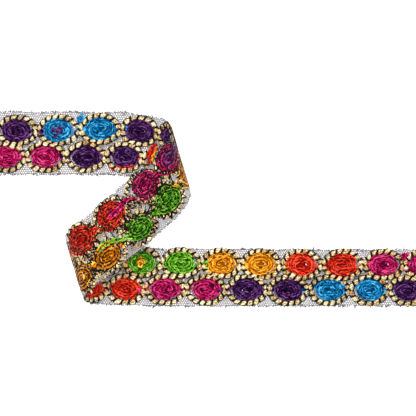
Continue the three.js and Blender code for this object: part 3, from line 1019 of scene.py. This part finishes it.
# The beads and their strands, how much the beads differ, and the flat strip beneath them
ROWS_A_BEAD = 7
CORD_HALF_WIDTH = 1.5
CORD_HALF_HEIGHT = 0.95
CORD_HEIGHT = 0.8
PINCH = 0.3
STITCH_SLANT = 0.42
STRANDS_IN_CORD = 3
STRAND_SIDES = 6
STRAND_SHARE = 0.56
TWIST_A_BEAD = 0.36
BEAD_SPREAD = {"size": 0.13, "aside": 0.3, "shade": 0.03, "turn": 0.9}
PATTERN_STEP = {"strand": 2.7, "bead": 3.7}
STRIP = {"wide": 0.9, "depth": 0.13, "height": -0.12}

# The black stitches that hold the cord, and the black thread beside it
HOLD = {
    "apart": 0.32, "cross": 0.2, "wide_spread": 0.08, "ahead_spread": 0.1, "foot": 0.15, "clear": 0.12,
    "radius": 0.36,
}
BESIDE = {"kept": 0.8, "ends": 0.55, "bow": 0.6, "height": 0.62, "radius": 0.27}

# Zigzags at the back of a cord: thread, legs a bead, half width, radius, share of legs that show, and how far
# from the band's middle they reach
ZIGZAGS = [
    ("gold", 2.0, 3.0, 0.8, 0.9, 9.0),
    ("black", 2.6, 1.35, 0.55, 0.85, 20.0),
    ("black", 2.0, 3.0, 0.45, 0.7, 8.5),
    ("gold", 1.1, 4.6, 0.6, 0.6, 6.0),
    ("black", 1.3, 4.2, 0.4, 0.6, 6.0),
]
ZIGZAG_SPREAD = {"side": 0.3, "ahead": 0.5, "radius": 0.25}
LEG_TAPER = np.array([0.8, 1.0, 0.8])
FLAT_STITCH = 0.15

# Stray stitches at the back, beside the second fold: along, across, spread along, spread across, count
STRAYS = [(197.0, -12.0, 4.5, 2.2, 60), (196.5, -1.0, 5.0, 3.0, 50), (203.5, 0.5, 3.0, 5.0, 40)]
STRAY_HALF = (1.0, 2.0)

# Their threads: thread, radius, share of the counts
STRAY_THREADS = [("gold", 0.7, 1.0), ("black", 0.42, 0.45)]


def crossings_of(rounds):
    """Where the two cords of a row cross: half way between rounds, and as far past the last ones."""
    along = np.array([entry[0] for entry in rounds])
    across = np.array([entry[1] for entry in rounds])
    between = (along[1:] + along[:-1]) / 2
    first = 2 * along[0] - between[0]
    last = 2 * along[-1] - between[-1]
    return np.concatenate([[first], between, [last]]), along, across


def cord_line(rounds, row_side, start_side):
    """A wave that goes over one round and under the next: the sine of the angle, squared up by dividing it by
    the root of sine squared plus a share of cosine squared. Its angle turns half way between crossings.
    Returns the line and its count of beads at each point, a whole number at each crossing."""
    crossings, along, across = crossings_of(rounds)
    place = np.linspace(crossings[0], crossings[-1], CORD_STEPS)
    half_waves = np.interp(place, crossings, np.arange(len(crossings)))
    angle = np.pi * half_waves
    wave = start_side * np.sin(angle) / np.sqrt(np.sin(angle) ** 2 + (CORD_SQUARE * np.cos(angle)) ** 2)
    reach = np.where(wave * row_side < 0, CORD_REACH - INNER_LESS, CORD_REACH)
    if row_side > 0:
        reach = np.where(wave > 0, reach - drawn_in(place, CORD_DRAWN), reach)
    line = joined(place, np.interp(place, along, across) + reach * wave)
    run = run_of(line)
    run_at_crossings = np.interp(crossings, place, run)
    beads = np.round(np.diff(run_at_crossings) / BEAD)
    bead_count = np.concatenate([[0], np.cumsum(beads)])
    return line, np.interp(run, run_at_crossings, bead_count), half_waves


def cord_by_beads(rounds, row_side, start_side):
    """The cord's line read at even parts of a bead, with its height: it dips and lifts in turn where it
    crosses the other cord."""
    line, bead, half_waves = cord_line(rounds, row_side, start_side)
    wanted = np.linspace(0, bead[-1], int(bead[-1]) * ROWS_A_BEAD + 1)
    waves = np.interp(wanted, bead, half_waves)
    nearness = np.exp(-((np.abs(waves - np.round(waves)) / CROSSING_REACH) ** 2))
    height = CORD_HEIGHT + CROSSING_LIFT * start_side * np.cos(np.pi * np.round(waves)) * nearness
    return lifted(read_at(wanted, bead, line), height), wanted


def add_cord(work, line, bead):
    """Twisted strands side by side about the cord's line. Each bead is fullest at its middle, pinched at its
    ends, lies a little aside, and leans with the stitches that hold it. A strand's place turns evenly about
    the line, with a start of its own in every bead. A flat strip of the same thread lies beneath."""
    beads = int(bead[-1])
    number = np.clip(np.floor(bead).astype(int), 0, beads - 1)
    middles = np.arange(beads) + 0.5
    size = (1 + BEAD_SPREAD["size"] * rng.normal(size=beads))[number]
    _direction, left = ways_of(line)
    aside = np.interp(bead, middles, BEAD_SPREAD["aside"] * rng.normal(size=beads))
    line = lifted(line[:, :2] + left * aside[:, None], line[:, 2])
    shade = (BEAD_SPREAD["shade"] * rng.normal(size=beads))[number][:, None]
    swell = ((PINCH + (1 - PINCH) * np.abs(np.sin(np.pi * bead)) ** 0.75) * size)[:, None]
    start = np.interp(bead, middles, BEAD_SPREAD["turn"] * rng.normal(size=beads))
    ring = ring_angles(STRAND_SIDES)
    around = np.cos(ring) + PATTERN_STEP["bead"] * number[:, None]

    def add_tube(side, up, around):
        """A tube that leans with the stitches, its pattern's run counted in beads."""
        rings = flat_rings(line, side, up, STITCH_SLANT * side)
        patterns = joined((bead * BEAD)[:, None], around, shade)
        work.add_tubes(rings[None], patterns[None])

    for strand in range(STRANDS_IN_CORD):
        turn = (2 * np.pi * (strand / STRANDS_IN_CORD + TWIST_A_BEAD * bead) + start)[:, None]
        side = CORD_HALF_WIDTH * swell * ((1 - STRAND_SHARE) * np.cos(turn) + STRAND_SHARE * np.cos(ring))
        up = CORD_HALF_HEIGHT * swell * ((1 - STRAND_SHARE) * np.sin(turn) + STRAND_SHARE * np.sin(ring))
        add_tube(side, up, around + PATTERN_STEP["strand"] * strand)
    side = STRIP["wide"] * CORD_HALF_WIDTH * swell * np.cos(ring)
    add_tube(side, STRIP["depth"] * np.sin(ring) + STRIP["height"] - line[:, 2:], around)


def holding_stitches(work, line, bead):
    """Two black stitches over each pinch: arcs across the cord that lean as beads do and cross a little."""
    at = np.arange(1, int(bead[-1])) * ROWS_A_BEAD
    direction, left = (way[at] for way in ways_of(line))
    share = np.linspace(-1, 1, 5)
    arch = np.sqrt(np.maximum(1 - share ** 2, 0))
    top = line[at, 2] + CORD_HALF_HEIGHT * PINCH + HOLD["clear"]
    for way in (-1, 1):
        wide = CORD_HALF_WIDTH + HOLD["wide_spread"] * rng.normal(size=len(at))
        side = wide[:, None] * share
        ahead = STITCH_SLANT * side + way * (HOLD["apart"] - HOLD["cross"] * share)
        ahead = ahead + HOLD["ahead_spread"] * rng.normal(size=(len(at), 1))
        plan = off_line(line[at], direction, left, side, ahead)
        lines = lifted(plan, HOLD["foot"] + top[:, None] * arch)
        work.add_tubes(*thin_tubes(lines, HOLD["radius"], 4, lifted(direction, 0)))


def side_threads(work, line, bead):
    """Black thread beside the cord on both sides, from pinch to pinch, bowed out round most beads."""
    steps = np.linspace(0, 1, 4)
    at = (np.arange(int(bead[-1]))[:, None] + steps) * ROWS_A_BEAD
    at = np.clip(np.round(at).astype(int), 0, len(line) - 1)
    _direction, left = ways_of(line)
    for side in (-1, 1):
        kept = at[rng.random(len(at)) < BESIDE["kept"]]
        bow = side * (BESIDE["ends"] + BESIDE["bow"] * np.sin(np.pi * steps)) * CORD_HALF_WIDTH
        plan = line[kept, :2] + left[kept] * bow[:, None]
        work.add_tubes(*thin_tubes(lifted(plan, BESIDE["height"]), BESIDE["radius"], 3))


def back_zigzag(work, line, bead, height, legs_a_bead, half_wide, radius, kept_share, reach):
    """Thread in an uneven zigzag behind the cord: its corners lie to either side in turn, and a leg runs
    straight between two of them. Some legs don't show, nor any beyond the reach from the band's middle."""
    legs = int(bead[-1] * legs_a_bead)
    at = np.round(np.linspace(0, len(line) - 1, legs + 1)).astype(int)
    direction, left = (way[at] for way in ways_of(line))
    turns = np.where(np.arange(legs + 1) % 2, 1, -1)
    sway = half_wide * (turns + ZIGZAG_SPREAD["side"] * rng.normal(size=legs + 1))
    corners = line[at, :2] + left * sway[:, None]
    corners = corners + direction * ZIGZAG_SPREAD["ahead"] * rng.normal(size=(legs + 1, 1))
    share = np.linspace(0, 1, 3)[:, None]
    plan = corners[:-1, None] * (1 - share) + corners[1:, None] * share
    kept = (rng.random(legs) < kept_share) & (np.abs(line[at[:-1], 1]) < reach)
    lines = lifted(plan[kept], height)
    thick = radius * (1 + ZIGZAG_SPREAD["radius"] * rng.normal(size=(len(lines), 1))) * LEG_TAPER
    shift = PATTERN_SPREAD * rng.random(len(lines))
    work.add_tubes(*thin_tubes(lines, thick, 4, flatness=FLAT_STITCH, shift=shift))


def stray_stitches(work, height, radius, share):
    """Flat stitches at random about each place, in any direction. share is the part of each place's count
    that is made."""
    for along, across, spread_along, spread_across, full_count in STRAYS:
        count = round(full_count * share)
        middle = rng.normal(size=(count, 2)) * [spread_along, spread_across] + [along, across]
        angle = rng.uniform(0, np.pi, count)
        half = rng.uniform(*STRAY_HALF, count)[:, None] * joined(np.cos(angle), np.sin(angle))
        plan = middle[:, None] + half[:, None] * np.array([-1, 0, 1])[:, None]
        shift = PATTERN_SPREAD * rng.random(count)
        work.add_tubes(*thin_tubes(lifted(plan, height), radius, 4, flatness=FLAT_STITCH, shift=shift))


def make_cords():
    """Both cords of each row with their black stitches, and the lower row's stray stitches at the back."""
    for row, rounds in ROUNDS.items():
        row_side = 1 if row == "upper" else -1
        works = {"gold": Gathered(), "black": BLACK_WORK[row]}
        for start_side in (1, -1):
            line, bead = cord_by_beads(rounds, row_side, start_side)
            add_cord(works["gold"], line, bead)
            holding_stitches(works["black"], line, bead)
            side_threads(works["black"], line, bead)
            for thread, *zigzag in ZIGZAGS:
                back_zigzag(works[thread], line, bead, ZIGZAG_HEIGHTS[thread], *zigzag)
        if row == "lower":
            for thread, radius, share in STRAY_THREADS:
                stray_stitches(works[thread], ZIGZAG_HEIGHTS[thread], radius, share)
        piece = works["gold"].finish(f"gold_cords_{row}", GOLD, "gold_cord")
        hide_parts(f"gold_outline_{row}")
        works["black"].finish(f"black_stitches_{row}", BLACK, "net")


# The studio

# Lengths in metres, the sensor's width in millimetres, and the lamp's power in watts
VIEW_WIDTH = 0.24128
CAMERA_HEIGHT = 0.9
PHOTO_CENTRE = (-0.003864, 0.000541)
SENSOR = 36.0
LAMP_PLACE = (-0.12, 0.12, 1.0)
LAMP_SIZE = 0.7
LAMP_POWER = 12
LIGHT_ALL_ROUND = 0.62
FLOOR_HALF = 3.0
FLOOR_TONE = 0.93
FLOOR_GLOW = 0.42
WHITE = (1, 1, 1, 1)


def make_floor():
    """A plain pale floor, well wider than the view, just under the trim."""
    corners = [(x * FLOOR_HALF, y * FLOOR_HALF, 0) for x, y in ((-1, -1), (1, -1), (1, 1), (-1, 1))]
    mesh = bpy.data.meshes.new("floor")
    mesh.from_pydata(corners, [], [(0, 1, 2, 3)])
    floor = bpy.data.objects.new("floor", mesh)
    bpy.context.collection.objects.link(floor)
    material = bpy.data.materials.new("pale floor")
    material.use_nodes = True
    shader = material.node_tree.nodes["Principled BSDF"]
    set_inputs(shader, {
        "Base Color": (FLOOR_TONE, FLOOR_TONE, FLOOR_TONE, 1), "Roughness": 0.9, "Specular IOR Level": 0.1,
        "Emission Color": WHITE, "Emission Strength": FLOOR_GLOW,
    })
    mesh.materials.append(material)


def make_lights():
    """Even light from all round, with a large soft lamp above to the left that faces the trim's middle."""
    world = bpy.data.worlds.new("soft studio")
    world.use_nodes = True
    set_inputs(world.node_tree.nodes["Background"], {"Color": WHITE, "Strength": LIGHT_ALL_ROUND})
    bpy.context.scene.world = world
    lamp_data = bpy.data.lights.new("soft lamp", "AREA")
    lamp_data.shape = "SQUARE"
    lamp_data.size = LAMP_SIZE
    lamp_data.energy = LAMP_POWER
    lamp = bpy.data.objects.new("soft lamp", lamp_data)
    lamp.location = LAMP_PLACE
    lamp.rotation_euler = Vector(LAMP_PLACE).to_track_quat("Z", "Y").to_euler()
    bpy.context.collection.objects.link(lamp)


def make_camera():
    """Straight above the photograph's middle, as wide as its view at the floor."""
    camera_data = bpy.data.cameras.new("camera")
    camera_data.sensor_width = SENSOR
    camera_data.lens = SENSOR * CAMERA_HEIGHT / VIEW_WIDTH
    camera = bpy.data.objects.new("camera", camera_data)
    camera.location = (*PHOTO_CENTRE, CAMERA_HEIGHT)
    bpy.context.collection.objects.link(camera)
    bpy.context.scene.camera = camera
    bpy.context.scene.view_settings.view_transform = "Standard"


make_camera()
make_floor()
make_lights()
make_net()
make_cut_ends()
make_rounds()
make_middles()
make_loose_runs()
make_cords()
